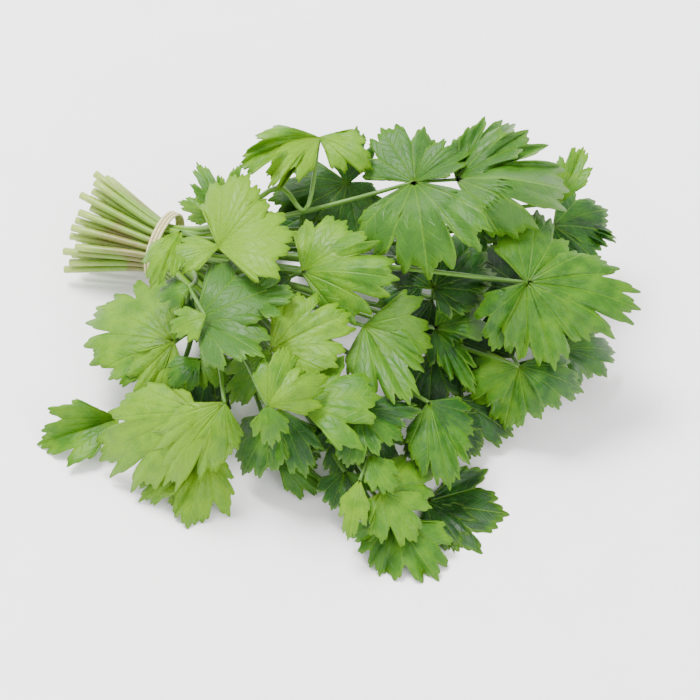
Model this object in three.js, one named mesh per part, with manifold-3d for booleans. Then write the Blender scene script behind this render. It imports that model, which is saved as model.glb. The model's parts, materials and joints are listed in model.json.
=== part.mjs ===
// A bunch of coriander: leafy stems held by one tie near their cut ends, lying on a table.
// Millimetres, +Z up. The origin is the middle of the bunch's box, at table height.
import * as THREE from "three";
import { mergeVertices } from "three/addons/utils/BufferGeometryUtils.js";
import Module from "manifold-3d";

const wasm = await Module();
wasm.setup();

// Stems: radius at the cut, in the tie and where the leaflets start
const CUT_RADIUS = 1.7;
const TIE_RADIUS = 1.5;
const HUB_RADIUS = 0.95;
const STALK_RADIUS = 0.8;
const STEM_SIDES = 5;
const RINGS_TO_HUB = 6;

// The stems lie in the tie like stacked pipes, in rows from the lowest up
const STEM_PITCH = 3.45;
const ROW_RISE = STEM_PITCH * Math.sin(Math.PI / 3);
const ROWS = [5, 6, 7, 8, 7, 6, 5];
const COLUMN = 0.4 * STEM_PITCH;

// Leaf blades
const BLADE = 0.8;
const HALF_BLADE = BLADE / 2;
const INNER_RING = 0.4;
const SMALL_LEAF = 38;
const FOOT = [54, 0.2];
const BASE_SINK = 0.4;

// The bunch is laid out as it is seen from the front, 50 degrees above the table:
// X runs across the view, Y up it and Z towards the viewer, until the last step tips it upright
const LOOK_DOWN = THREE.MathUtils.degToRad(50);
const TIP_UPRIGHT = Math.PI / 2 - LOOK_DOWN;
const SIN = Math.sin(LOOK_DOWN);
const COS = Math.cos(LOOK_DOWN);
const ACROSS = new THREE.Vector3(1, 0, 0);
const VIEWER = new THREE.Vector3(0, 0, 1);
const SKY = new THREE.Vector3(0, COS, SIN);
const BETWEEN = SKY.clone().add(VIEWER).normalize();

// The tie, and how far the stems spread on both sides of it
const TIE_SEEN = [-75, 66, 22];
const CUT_SEEN = [-108, 79, 23];
const CUT_SPREAD = [2.1, 1.2];
const CUT_STAGGER = 7;
const NECK = 4;
const THROAT = 20;
const THROAT_SPREAD = [1.6, 1.75];
const TIE_STRANDS = 3;
const STRAND = 1.5;
const TIE_GAP = 0.35;
const TIE_SIDES = 16;

// How the pile is stacked: every piece stays this far above what lies under it
const CLEAR = 0.5;
const CELL = 1.25;
const PILE_REACH = 150;
const SAMPLE_STEP = 1.2;
const LIFT_SLOPE = 0.55;
const LIFT_FLAT = 5;
const LIFT_PASSES = 6;
const OWN_PASSES = 3;
const SHARED_BASE = 6;
const FREE_OF_TIE = 36;
const LEAST_LOOSE = 0.97;
const GROOVE_GAP = 0.3;
const PASSING = 2 * TIE_RADIUS + 1;
const LIES_DOWN = 3;

// Corners sit on a fine grid, and the very short edges left where two surfaces cross are closed up
const GRID = 0.001;
const SHORT_EDGES = [0.03, 0.06, 0.12];
const THIN = 0.008;
const TIDY_PASSES = 3;

// A point from its place across and up the view, and its height above the table
function seen([across, up, height]) {
  return new THREE.Vector3(across, up, (height - up * COS) / SIN);
}

// A point from its place on the table, to the right and away, and its height
function onTable([right, away, height]) {
  return new THREE.Vector3(right, away, height).applyAxisAngle(ACROSS, -TIP_UPRIGHT);
}

function heightOf(p) {
  return p.dot(SKY);
}

// A repeatable draw between 0 and 1
function draw(seed, turn) {
  const v = Math.sin(seed * 12.9898 + turn * 78.233) * 43758.5453;
  return v - Math.floor(v);
}

// One leaflet: its tip as seen, its width over its length, and how it bends
function leaf(tip, wide, more = {}) {
  const from = more.from ? seen(more.from) : null;
  return { tip: seen(tip), wide, from, facing: BETWEEN, ...bends(more) };
}

function bends({ roll = 0, arch = 0.1, droop = 0.3, fold = 0, ripple = 0.03, cut = 0.34 }) {
  return { roll: THREE.MathUtils.degToRad(roll), arch, droop, fold, ripple, cut };
}

// One leafy stem, with the place where its leaflets meet
function stem(name, hub, leaves, more = {}) {
  return { name, hub: seen(hub), leaves, via: more.via ? seen(more.via) : null };
}

// Leaflets at a stem's end that point away over the table, for the sides that the view hides
function spray(name, place, heading, reach, drop, seed) {
  const turns = [44, -44];
  const leaves = turns.map((turn, k) => {
    const angle = THREE.MathUtils.degToRad(heading + turn + 24 * (draw(seed, k) - 0.5));
    const length = reach * (0.9 + 0.2 * draw(seed, k + 5));
    const flat = Math.sqrt(Math.max(length ** 2 - drop ** 2, 100));
    const [right, away, height] = place;
    const low = height - drop * (0.85 + 0.3 * draw(seed, k + 9));
    const tip = onTable([right + flat * Math.cos(angle), away + flat * Math.sin(angle), low]);
    const wide = 0.9 + 0.15 * draw(seed, k + 13);
    return { tip, wide, from: null, facing: SKY, ...bends({ arch: 0.16 }) };
  });
  return { name, hub: onTable(place), leaves, via: null };
}

// From the leafy stem furthest from the viewer to the nearest one
const STEMS = [
  spray("stem_back_1", [-34, 76, 13], 108, 26, 13, 1),
  spray("stem_back_2", [-4, 70, 16], 95, 27, 16, 2),
  spray("stem_back_3", [26, 64, 18], 88, 30, 18, 3),
  spray("stem_back_4", [57, 60, 18], 75, 30, 18, 4),
  spray("stem_right_1", [86, 48, 18], 48, 29, 18, 5),
  spray("stem_back_5", [72, 58, 36], 62, 27, 10, 9),
  spray("stem_right_2", [94, 30, 17], 8, 26, 17, 6),
  stem("stem_right_back", [92, 74, 42], [
    leaf([116, 81, 34], 1.1),
    leaf([111, 58, 28], 1.15),
    leaf([120, 69, 18], 0.36),
  ]),
  stem("stem_right_upright", [95, 84, 54], [
    leaf([105, 108, 64], 0.62, { fold: 0.35 }),
    leaf([100, 99, 63], 0.85, { from: [97, 90, 58] }),
  ]),
  stem("stem_inner_pale", [57, 74, 52], [
    leaf([62, 60, 46], 0.85),
    leaf([76, 76, 54], 1.0),
  ]),
  stem("stem_right_low", [94, 21, 20], [
    leaf([119, 20, 2], 0.75),
    leaf([108, 12, -1], 0.8),
  ]),
  stem("stem_back_dark", [4, 92, 60], [
    leaf([8, 117, 74], 0.8),
    leaf([15, 80, 56], 0.95),
    leaf([-30, 84, 50], 0.9),
    leaf([10, 62, 44], 1.1),
  ]),
  stem("stem_right_bright", [76, 14, 34], [
    leaf([70, -13, 10], 1.05),
    leaf([104, 3, 12], 0.75),
    leaf([52, 4, 22], 0.9),
  ]),
  stem("stem_front_dark", [37, -43, 2], [
    leaf([72, -48, -5], 1.08, { arch: 0, droop: 0.05, ripple: 0.01 }),
    leaf([52, -62, -1], 0.95),
  ]),
  stem("stem_front_pale", [-26, -25, 13], [
    leaf([-5, -39, -1], 0.7),
    leaf([-9, -25, 4], 0.8),
  ]),
  stem("stem_front_low", [23, -50, 10], [
    leaf([17, -73, -1], 1.0),
    leaf([42, -75, -1], 1.05),
    leaf([4, -57, 2], 0.75),
  ]),
  stem("stem_front_notched", [3, -30, 12], [
    leaf([-3, -46, -1], 1.1),
    leaf([12, -46, 0], 0.9),
  ]),
  stem("stem_front_bright", [18, -38, 20], [
    leaf([41, -27, 14], 0.8),
    leaf([33, -59, 4], 1.1, { cut: 0.42 }),
    leaf([13, -51, 8], 0.6),
  ]),
  stem("stem_front_right", [38, -1, 34], [
    leaf([57, -15, 24], 0.85),
    leaf([47, -38, 10], 0.7),
  ]),
  stem("stem_front_narrow", [13, -23, 28], [
    leaf([4, -58, 1], 0.5, { from: [9, -33, 22] }),
    leaf([23, -39, 16], 0.8),
  ]),
  stem("stem_inner_narrow", [41, 30, 40], [
    leaf([49, 11, 30], 0.85),
    leaf([58, 2, 24], 0.42),
    leaf([54, 26, 36], 0.9),
    leaf([66, 44, 38], 0.95),
  ]),
  stem("stem_inner_dark", [40, 47, 46], [
    leaf([67, 53, 46], 0.95),
    leaf([56, 37, 38], 0.85),
    leaf([60, 68, 46], 1.1),
    leaf([26, 64, 46], 1.0),
  ]),
  stem("stem_far_right", [79, 49, 60], [
    leaf([84, 80, 70], 1.0),
    leaf([128, 38, 50], 0.75, { arch: 0.14 }),
    leaf([91, 12, 36], 0.9, { arch: 0.14 }),
    leaf([64, 20, 36], 0.9),
  ]),
  stem("stem_top_right", [32, 92, 70], [
    leaf([18, 116, 79], 1.2, { arch: 0.06 }),
    leaf([58, 108, 76], 0.55, { fold: 0.3 }),
    leaf([76, 118, 74], 0.7, { from: [50, 93, 70] }),
    leaf([98, 88, 64], 1.05, { from: [50, 93, 70], cut: 0.45 }),
    leaf([38, 50, 56], 1.2, { cut: 0.4 }),
  ]),
  stem("stem_inner_lobed", [9, -4, 38], [
    leaf([27, -17, 28], 1.0),
    leaf([36, -5, 32], 0.5),
    leaf([4, -28, 20], 1.0),
  ]),
  stem("stem_left_folded", [-93, -8, 9], [
    leaf([-128, -19, 1], 0.75, { fold: 0.5, roll: -18 }),
    leaf([-101, -19, 0], 0.8),
  ]),
  stem("stem_left_front", [-55, -22, 20], [
    leaf([-84, -43, -1], 0.6),
    leaf([-63, -54, -1], 1.0),
    leaf([-45, -42, 2], 0.55),
  ]),
  stem("stem_middle_right", [11, 31, 52], [
    leaf([40, 22, 44], 1.4),
    leaf([30, -2, 38], 0.8),
  ]),
  stem("stem_front_shade", [-24, -4, 34], [
    leaf([-13, -33, 12], 0.75),
    leaf([-40, -32, 2], 0.72, { cut: 0.2 }),
  ]),
  stem("stem_middle_front", [-16, -2, 44], [leaf([18, 1, 40], 1.3, { cut: 0.42 })]),
  stem("stem_middle_top", [-15, 54, 58], [
    leaf([4, 76, 60], 0.9),
    leaf([26, 50, 54], 1.0, { cut: 0.42 }),
  ]),
  stem("stem_left_broad", [-69, 24, 38], [
    leaf([-104, 40, 24], 0.95),
    leaf([-97, 8, 20], 0.8),
    leaf([-76, 41, 40], 0.55),
    leaf([-82, -4, 14], 0.9),
  ]),
  stem("stem_left_young", [-58, 17, 38], [
    leaf([-46, 6, 34], 1.1, { ripple: 0.07 }),
    leaf([-72, 5, 30], 0.9, { ripple: 0.07 }),
  ]),
  stem("stem_middle", [-28, 21, 52], [
    leaf([6, 36, 54], 0.95),
    leaf([-45, -2, 32], 0.8),
  ]),
  stem("stem_front_upper", [-29, -2, 40], [
    leaf([-20, 23, 46], 0.7),
    leaf([-3, 10, 43], 0.75),
    leaf([-27, -20, 30], 0.9),
  ]),
  stem("stem_left_pale", [-47, -1, 36], [
    leaf([-92, -4, 12], 0.5, { from: [-57, -5, 33] }),
    leaf([-101, -26, 6], 0.85, { from: [-57, -5, 33], arch: 0.12 }),
    leaf([-73, -36, 12], 0.7, { arch: 0.12 }),
    leaf([-53, -27, 22], 0.8),
  ]),
  stem("stem_arched", [-8, 111, 75], [
    leaf([-30, 89, 66], 0.6, { arch: 0.2 }),
    leaf([-42, 97, 62], 0.6, { arch: 0.25 }),
    leaf([15, 97, 66], 0.75, { arch: 0.25 }),
  ], { via: [-14, 80, 56] }),
  stem("stem_grey_green", [-59, 33, 44], [
    leaf([-25, 47, 50], 1.15),
    leaf([-30, 18, 46], 0.85),
    leaf([-17, 44, 46], 0.9, { from: [-38, 42, 44] }),
  ]),
  stem("stem_left_curly", [-62, 47, 48], [
    leaf([-76, 43, 42], 0.9, { ripple: 0.07 }),
    leaf([-70, 28, 42], 1.0, { from: [-55, 35, 48], ripple: 0.07 }),
  ]),
  stem("stem_upright_edge", [-50, 77, 42], [
    leaf([-60, 101, 56], 0.6, { roll: 20 }),
    leaf([-41, 100, 58], 0.5, { roll: 20 }),
    leaf([-68, 84, 46], 0.7),
  ]),
  stem("stem_top_left", [-50, 64, 48], [
    leaf([-17, 70, 54], 1.15, { cut: 0.24 }),
    leaf([-37, 96, 60], 0.8, { cut: 0.24 }),
    leaf([-73, 59, 42], 0.7),
    leaf([-79, 46, 30], 0.6, { from: [-66, 71, 46], arch: 0.2 }),
  ]),
];

// Where the bundle runs through the tie
const TIE = seen(TIE_SEEN);
const CUT = seen(CUT_SEEN);
const ALONG = TIE.clone().sub(CUT).projectOnPlane(SKY).normalize();
const RISE = VIEWER.clone().projectOnPlane(ALONG).normalize();
const SIDE = RISE.clone().cross(ALONG);

// The slots of the bundle, sideways and towards the viewer from its middle
function slots() {
  const middle = (ROWS.length - 1) / 2;
  return ROWS.flatMap((count, row) =>
    Array.from({ length: count }, (_, k) => ({
      side: (k - (count - 1) / 2) * STEM_PITCH,
      rise: (row - middle) * ROW_RISE,
    })),
  );
}

// Stems that leave the tie the same way share a column, in the order of the list
function giveSlots(stems) {
  const turnOf = (s) => {
    const way = s.hub.clone().sub(TIE);
    return Math.atan2(way.dot(SIDE), way.dot(ALONG));
  };
  const free = slots().sort((a, b) => a.side - b.side).slice(0, stems.length);
  const turned = [...stems].sort((a, b) => turnOf(a) - turnOf(b));
  while (free.length) {
    const edge = free[0].side + COLUMN;
    const column = free.splice(0, free.filter((slot) => slot.side < edge).length);
    const group = turned.splice(0, column.length);
    column.sort((a, b) => a.rise - b.rise);
    group.sort((a, b) => stems.indexOf(a) - stems.indexOf(b));
    group.forEach((s, k) => Object.assign(s, { slot: column[k] }));
  }
}

// The place of a slot at a point of the bundle's middle line, with the bundle spread there
function inBundle(middle, slot, [wide, high]) {
  return middle.clone().addScaledVector(SIDE, slot.side * wide).addScaledVector(RISE, slot.rise * high);
}

// The rings of a stem, from its cut end through the tie to its hub
function stemPath(s, index) {
  const stagger = CUT_STAGGER * (draw(index, 1) - 0.5);
  const cut = inBundle(CUT, s.slot, CUT_SPREAD).addScaledVector(ALONG, stagger);
  const before = inBundle(TIE.clone().addScaledVector(ALONG, -NECK), s.slot, [1, 1]);
  const after = inBundle(TIE.clone().addScaledVector(ALONG, NECK), s.slot, [1, 1]);
  const throat = inBundle(TIE.clone().addScaledVector(ALONG, THROAT), s.slot, THROAT_SPREAD);
  const way = s.hub.clone().sub(throat);
  const turned = (1 - way.clone().normalize().dot(ALONG)) / 2;
  const bow = throat.clone().lerp(s.hub, 0.5).addScaledVector(ALONG, 0.35 * turned * way.length());
  const knots = [cut, before, after, throat, ...(s.via ? [bow, s.via] : [bow]), s.hub];
  const curve = new THREE.CatmullRomCurve3(knots, false, "centripetal");
  const step = 1 / (knots.length - 1);
  const rest = 1 - 3 * step;
  const stops = [0, 0.5 * step, step, 2 * step, 3 * step];
  for (let k = 1; k <= RINGS_TO_HUB; k++) stops.push(3 * step + (rest * k) / RINGS_TO_HUB);
  return stops.map((t) => curve.getPoint(Math.min(t, 1)));
}

// A stem's radius at each of its rings
function stemRadii() {
  const radii = [CUT_RADIUS, CUT_RADIUS, TIE_RADIUS, TIE_RADIUS, TIE_RADIUS];
  for (let k = 1; k <= RINGS_TO_HUB; k++) {
    radii.push(THREE.MathUtils.lerp(TIE_RADIUS, HUB_RADIUS, k / RINGS_TO_HUB));
  }
  return radii;
}

// A closed tube whose rings sit on the points, carried along them without twist
function tube(points, radii) {
  const last = points.length - 1;
  const g = new THREE.CylinderGeometry(1, 1, 1, STEM_SIDES, last);
  g.deleteAttribute("normal");
  g.deleteAttribute("uv");
  const body = mergeVertices(g, 1e-4);
  const frames = ringFrames(points);
  const at = body.attributes.position;
  for (let i = 0; i < at.count; i++) {
    const ring = Math.round((at.getY(i) + 0.5) * last);
    const p = points[ring].clone();
    p.addScaledVector(frames[ring].a, at.getZ(i) * radii[ring]);
    p.addScaledVector(frames[ring].b, at.getX(i) * radii[ring]);
    at.setXYZ(i, p.x, p.y, p.z);
  }
  return body;
}

// Two directions across the path at each point, each carried on from the last
function ringFrames(points) {
  let a = VIEWER.clone();
  return points.map((p, k) => {
    const from = points[Math.max(k - 1, 0)];
    const to = points[Math.min(k + 1, points.length - 1)];
    const ahead = to.clone().sub(from).normalize();
    a = a.clone().addScaledVector(ahead, -a.dot(ahead)).normalize();
    return { a, b: a.clone().cross(ahead).negate() };
  });
}

// Half of a leaflet's toothed outline, as degrees off its midrib and reach, 1 at its tip
function halfOutline(blade, small) {
  const slit = 1 - blade.cut;
  if (small) return [[9, 0.87], [17, 0.93], [27, slit], [39, 0.9], [48, 0.75], [57, 0.74], FOOT];
  const middle = [[8, 0.88], [15, 0.97], [23, slit]];
  const side = [[32, 0.93], [39, 0.8], [46, 0.87], [53, 0.72], [60, 0.72], [67, 0.54]];
  return [...middle, ...side, FOOT];
}

// The whole outline, each tooth a little off its even place
function leafOutline(blade, small, seed) {
  const half = halfOutline(blade, small);
  const right = half.map(([angle, reach]) => [-angle, reach]).reverse();
  return [...right, [0, 1], ...half].map(([angle, reach], k) => {
    const turn = THREE.MathUtils.degToRad(angle + 3 * (draw(seed, k) - 0.5));
    const out = angle === 0 ? 1 : reach * (1 + 0.1 * (draw(seed, k + 40) - 0.5));
    return [turn, out];
  });
}

// A point of a leaflet's blade, from its angle and reach about the base
function bladePoint(blade, base, turn, out, phase) {
  const ahead = blade.tip.clone().sub(base);
  const length = ahead.length();
  ahead.normalize();
  const left = blade.facing.clone().cross(ahead).normalize().applyAxisAngle(ahead, blade.roll);
  const face = ahead.clone().cross(left);
  const x = out * Math.cos(turn);
  const y = out * Math.sin(turn);
  const height =
    blade.arch * 4 * x * (1 - x) -
    blade.droop * y * y +
    blade.fold * Math.abs(y) +
    blade.ripple * out * out * Math.sin(4.5 * turn + phase);
  return base
    .clone()
    .addScaledVector(ahead, x * length)
    .addScaledVector(left, (y * length * blade.wide) / 1.25)
    .addScaledVector(face, height * length);
}

// A leaflet as one bent sheet: its points, its triangles and the loop round its edge
function leafSheet(blade, base, seed) {
  const small = blade.tip.distanceTo(base) < SMALL_LEAF;
  const outline = leafOutline(blade, small, seed);
  const spokes = small ? [-42, 0, 42] : [-58, -28, 0, 28, 58];
  const inner = spokes.map((angle) => [THREE.MathUtils.degToRad(angle), INNER_RING]);
  const phase = 6.28 * draw(seed, 90);
  const points = [[0, 0], ...outline, ...inner].map(([turn, out]) =>
    bladePoint(blade, base, turn, out, phase),
  );
  const first = 1 + outline.length;
  const faces = [[0, 1, first]];
  let j = 0;
  let k = 0;
  while (j < outline.length - 1 || k < inner.length - 1) {
    const outerNext = j < outline.length - 1 ? outline[j + 1][0] : Infinity;
    const innerNext = k < inner.length - 1 ? inner[k + 1][0] : Infinity;
    if (outerNext <= innerNext) {
      faces.push([first + k, 1 + j, 2 + j]);
      j++;
    } else {
      faces.push([first + k, 1 + j, first + k + 1]);
      faces.push([0, first + k, first + k + 1]);
      k++;
    }
  }
  faces.push([0, first + k, 1 + j]);
  return { points, faces, edge: outline.length + 1 };
}

// The blade's thickness, laid half on each side of the sheet
function thicken({ points, faces, edge }) {
  const normals = points.map(() => new THREE.Vector3());
  for (const [a, b, c] of faces) {
    const one = points[b].clone().sub(points[a]);
    const two = points[c].clone().sub(points[a]);
    const n = one.cross(two);
    for (const i of [a, b, c]) normals[i].add(n);
  }
  const resting = (p) => heightOf(p) <= HALF_BLADE + 1e-6;
  const corners = [1, -1].flatMap((way) =>
    points.map((p, i) => {
      const n = resting(p) ? SKY : normals[i].normalize();
      return p.clone().addScaledVector(n, way * HALF_BLADE);
    }),
  );
  const under = points.length;
  const triangles = faces.flatMap(([a, b, c]) => [a, b, c, c + under, b + under, a + under]);
  for (let a = 0; a < edge; a++) {
    const b = (a + 1) % edge;
    triangles.push(b, a, a + under, b, a + under, b + under);
  }
  const g = new THREE.BufferGeometry().setFromPoints(corners);
  g.setIndex(triangles);
  return g;
}

// How near the viewer everything laid down so far comes, over a square of small cells
const CELLS = Math.ceil((2 * PILE_REACH) / CELL);
const pile = new Float32Array(CELLS * CELLS).fill(-Infinity);

function keyOf(x, y) {
  return Math.floor((y + PILE_REACH) / CELL) * CELLS + Math.floor((x + PILE_REACH) / CELL);
}

// Visits points all over a mesh's triangles, about a millimetre apart
function sample(g, visit) {
  const at = g.attributes.position;
  const corner = [0, 1, 2].map(() => new THREE.Vector3());
  const p = new THREE.Vector3();
  for (let i = 0; i < g.index.count; i += 3) {
    corner.forEach((c, k) => c.fromBufferAttribute(at, g.index.getX(i + k)));
    const [a, b, c] = corner;
    const longest = Math.max(a.distanceTo(b), b.distanceTo(c), c.distanceTo(a));
    const n = Math.ceil(longest / SAMPLE_STEP);
    for (let s = 0; s <= n; s++) {
      for (let t = 0; t <= n - s; t++) {
        p.copy(a).multiplyScalar((n - s - t) / n);
        p.addScaledVector(b, s / n).addScaledVector(c, t / n);
        visit(p);
      }
    }
  }
}

// The cells at and round a place
function around(x, y) {
  const steps = [-1, 0, 1];
  return steps.flatMap((j) => steps.map((i) => keyOf(x + i * CELL, y + j * CELL)));
}

function nearestUnder(x, y) {
  return Math.max(...around(x, y).map((key) => pile[key]));
}

// Where a mesh is not clear of what is under it, and by how much it must be lifted
function shortfalls(g, looseAt, nearest = nearestUnder) {
  const worst = new Map();
  sample(g, (p) => {
    const loose = looseAt(p);
    if (loose < LEAST_LOOSE) return;
    const under = loose < 1 ? pile[keyOf(p.x, p.y)] : nearest(p.x, p.y);
    const need = Math.max(under + CLEAR - p.z, -heightOf(p) / SIN) / loose;
    if (need < 0.02) return;
    const key = keyOf(p.x, p.y);
    const known = worst.get(key);
    if (!known || known.need < need) worst.set(key, { x: p.x, y: p.y, need });
  });
  return [...worst.values()];
}

function layDown(g) {
  sample(g, (p) => {
    const key = keyOf(p.x, p.y);
    pile[key] = Math.max(pile[key], p.z);
  });
}

// The lift that clears every shortfall: full near it, and less with distance
function liftAt(p, low) {
  let lift = 0;
  for (const { x, y, need } of low) {
    const away = Math.max(0, Math.hypot(p.x - x, p.y - y) - LIFT_FLAT);
    lift = Math.max(lift, need - LIFT_SLOPE * away);
  }
  return lift;
}

// How freely a stem can be lifted at a point: not at all in the tie, fully some way past it
function loosenessOf(start, hub) {
  const away = (p) => Math.hypot(p.x - start.x, p.y - start.y);
  const reach = Math.min(FREE_OF_TIE, away(hub));
  return (p) => (p.clone().sub(start).dot(ALONG) > 0 ? Math.min(1, away(p) / reach) : 0);
}

// One leafy stem before it is laid down: its path, its stalks and its sheets
function pieces(s, index) {
  const path = stemPath(s, index);
  const ends = s.leaves.map((l) => l.from).filter(Boolean);
  const apart = ends.filter((e, k) => !ends.slice(0, k).some((other) => other.equals(e)));
  const stalks = apart.map((e) => [s.hub.clone(), e.clone()]);
  const sheets = s.leaves.map((l, k) => {
    const start = l.from || s.hub;
    const back = start.clone().sub(l.tip).setLength(BASE_SINK);
    return leafSheet(l, start.clone().add(back), 10 * index + k);
  });
  if (s.leaves[0].facing === BETWEEN) stackOwn(sheets);
  return { path, loose: loosenessOf(path[3].clone(), s.hub), stalks, sheets };
}

// Lays each leaflet of a stem over the ones before it, except near where they start
function stackOwn(sheets) {
  const tops = new Map();
  const nearest = (x, y) => Math.max(...around(x, y).map((key) => tops.get(key) ?? -Infinity));
  for (const one of sheets) {
    const foot = one.points[0].clone();
    const apart = (p) => Math.min(1, Math.hypot(p.x - foot.x, p.y - foot.y) / SHARED_BASE);
    for (let pass = 0; pass < OWN_PASSES; pass++) {
      const low = shortfalls(thicken(one), (p) => (apart(p) < 1 ? 0 : 1), nearest);
      for (const p of one.points) p.z += apart(p) * liftAt(p, low);
    }
    sample(thicken(one), (p) => {
      const key = keyOf(p.x, p.y);
      if (apart(p) === 1) tops.set(key, Math.max(tops.get(key) ?? -Infinity, p.z));
    });
  }
}

function restOnTable(sheets) {
  for (const p of sheets.flatMap((one) => one.points)) {
    p.z += Math.max(0, HALF_BLADE - heightOf(p)) / SIN;
  }
}

// A blade that comes almost down to the bare table lies flat on it there
function lieDown(sheets) {
  for (const p of sheets.flatMap((one) => one.points)) {
    const bare = nearestUnder(p.x, p.y) === -Infinity;
    if (bare && heightOf(p) < LIES_DOWN) p.z += (HALF_BLADE - heightOf(p)) / SIN;
  }
}

function solidsOf({ path, stalks, sheets }) {
  const stalkRadii = [STALK_RADIUS, STALK_RADIUS];
  return {
    main: tube(path, stemRadii()),
    rest: [...stalks.map((s) => tube(s, stalkRadii)), ...sheets.map(thicken)],
  };
}

// How far the stems laid so far were lifted on their way out of the tie
const lifted = new Map();

function wayOut({ path, loose }) {
  const points = [];
  for (let k = 1; k < path.length; k++) {
    const steps = Math.ceil(path[k].distanceTo(path[k - 1]) / SAMPLE_STEP);
    for (let j = 0; j < steps; j++) points.push(path[k - 1].clone().lerp(path[k], j / steps));
  }
  return points.filter((p) => loose(p) > 0 && loose(p) < 1);
}

// Lifts a stem towards the viewer until it is clear of all that was laid before it
function settle(made) {
  const out = wayOut(made);
  restOnTable(made.sheets);
  const others = [...made.stalks.flat(), ...made.sheets.flatMap((one) => one.points)];
  const held = made.path.map((p) => ({ p, from: p.z, loose: made.loose(p) }));
  const moved = [...held, ...others.map((p) => ({ p, from: p.z, loose: 1 }))];
  const lifts = new Map();
  for (const [key, { x, y, need }] of lifted) {
    if (out.some((p) => Math.hypot(p.x - x, p.y - y) < PASSING)) lifts.set(key, { x, y, need });
  }
  const lift = () => {
    const all = [...lifts.values()];
    for (const { p, from, loose } of moved) p.z = from + loose * liftAt(p, all);
  };
  lift();
  for (let pass = 0; pass < LIFT_PASSES; pass++) {
    const { main, rest } = solidsOf(made);
    const low = [...shortfalls(main, made.loose), ...rest.flatMap((g) => shortfalls(g, () => 1))];
    if (!low.length) break;
    const known = [...lifts.values()];
    for (const { x, y, need } of low) {
      const key = keyOf(x, y);
      const whole = need + liftAt({ x, y }, known);
      if (whole > (lifts.get(key)?.need ?? 0)) lifts.set(key, { x, y, need: whole });
    }
    lift();
  }
  lieDown(made.sheets);
  const all = [...lifts.values()];
  for (const { x, y } of out) {
    const need = Math.max(liftAt({ x, y }, all), lifted.get(keyOf(x, y))?.need ?? 0);
    if (need > 0) lifted.set(keyOf(x, y), { x, y, need });
  }
}

function solid(g) {
  const merged = mergeVertices(g, 1e-4);
  return new wasm.Manifold(
    new wasm.Mesh({
      numProp: 3,
      vertProperties: merged.attributes.position.array,
      triVerts: new Uint32Array(merged.index.array),
    }),
  );
}

function biggest(made) {
  const [body] = made.decompose().sort((a, b) => b.volume() - a.volume());
  return body;
}

function geometryOf(made) {
  const m = made.getMesh();
  const g = new THREE.BufferGeometry();
  g.setAttribute("position", new THREE.BufferAttribute(m.vertProperties, 3));
  g.setIndex(new THREE.BufferAttribute(m.triVerts, 1));
  return g;
}

function onGrid(g) {
  const at = g.attributes.position;
  for (let i = 0; i < at.array.length; i++) at.array[i] = GRID * Math.round(at.array[i] / GRID);
  return g;
}

// The least height of a mesh's triangles, or 0 where an edge isn't between exactly two of them
function leastHeight(g) {
  const { index, attributes } = mergeVertices(g, GRID / 2);
  const known = new Set();
  const corner = [0, 1, 2].map(() => new THREE.Vector3());
  const triangle = new THREE.Triangle();
  let least = Infinity;
  for (let i = 0; i < index.count; i += 3) {
    const ends = [0, 1, 2].map((k) => index.getX(i + k));
    ends.forEach((end, k) => known.add(end + " " + ends[(k + 1) % 3]));
    ends.forEach((end, k) => corner[k].fromBufferAttribute(attributes.position, end));
    const sides = corner.map((c, k) => c.distanceTo(corner[(k + 1) % 3]));
    least = Math.min(least, (2 * triangle.set(...corner).getArea()) / Math.max(...sides));
  }
  return known.size === index.count ? least : 0;
}

// A solid as a mesh geometry, tipped upright
function upright(made) {
  const tidied = SHORT_EDGES.map((short) => {
    let g = onGrid(geometryOf(made).rotateX(TIP_UPRIGHT));
    for (let pass = 0; pass < TIDY_PASSES; pass++) {
      g = onGrid(geometryOf(biggest(solid(g).simplify(short))));
    }
    return { g, least: leastHeight(g) };
  });
  const sound = tidied.find(({ least }) => least > THIN);
  return (sound ?? tidied.sort((a, b) => b.least - a.least)[0]).g;
}

// Where stems still press on each other beside the tie, the nearer one is pressed into a groove
const roomFor = [];

function grooved(path, main) {
  const wide = stemRadii().map((r) => r + GROOVE_GAP);
  const plain = solid(main);
  const pressed = roomFor.filter((room) => room.intersect(plain).volume() > 0);
  roomFor.push(solid(tube(path, wide)));
  return pressed.reduce((left, room) => left.subtract(room), plain);
}

function leafyStem(s, index) {
  const made = pieces(s, index);
  settle(made);
  const { main, rest } = solidsOf(made);
  [main, ...rest].forEach(layDown);
  const whole = rest.map(solid).reduce((sum, one) => sum.add(one), grooved(made.path, main));
  const mesh = new THREE.Mesh(upright(biggest(whole)), leafGreen());
  mesh.name = s.name;
  return mesh;
}

function leafGreen() {
  return new THREE.MeshStandardMaterial({ color: 0x79ab2d, roughness: 0.55, metalness: 0 });
}

// The tie: a few strands side by side round the bundle
function tieRing() {
  const reach = Math.max(...slots().map(({ side, rise }) => Math.hypot(side, rise)));
  const inside = reach + TIE_RADIUS + TIE_GAP;
  const half = (TIE_STRANDS * STRAND) / 2;
  const profile = [new THREE.Vector2(inside, -half), new THREE.Vector2(inside, half)];
  for (let k = TIE_STRANDS - 1; k >= 0; k--) {
    const middle = -half + (k + 0.5) * STRAND;
    for (const [out, off] of [[0.6, 0.5], [1, 0], [0.6, -0.5]]) {
      profile.push(new THREE.Vector2(inside + out * STRAND, middle + off * STRAND));
    }
  }
  const outline = profile.filter((p, i) => i === 0 || p.distanceTo(profile[i - 1]) > 1e-3);
  outline.push(outline[0].clone());
  outline.reverse();
  const g = new THREE.LatheGeometry(outline, TIE_SIDES);
  g.applyQuaternion(new THREE.Quaternion().setFromUnitVectors(new THREE.Vector3(0, 1, 0), ALONG));
  return g.translate(...TIE.toArray());
}

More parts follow.
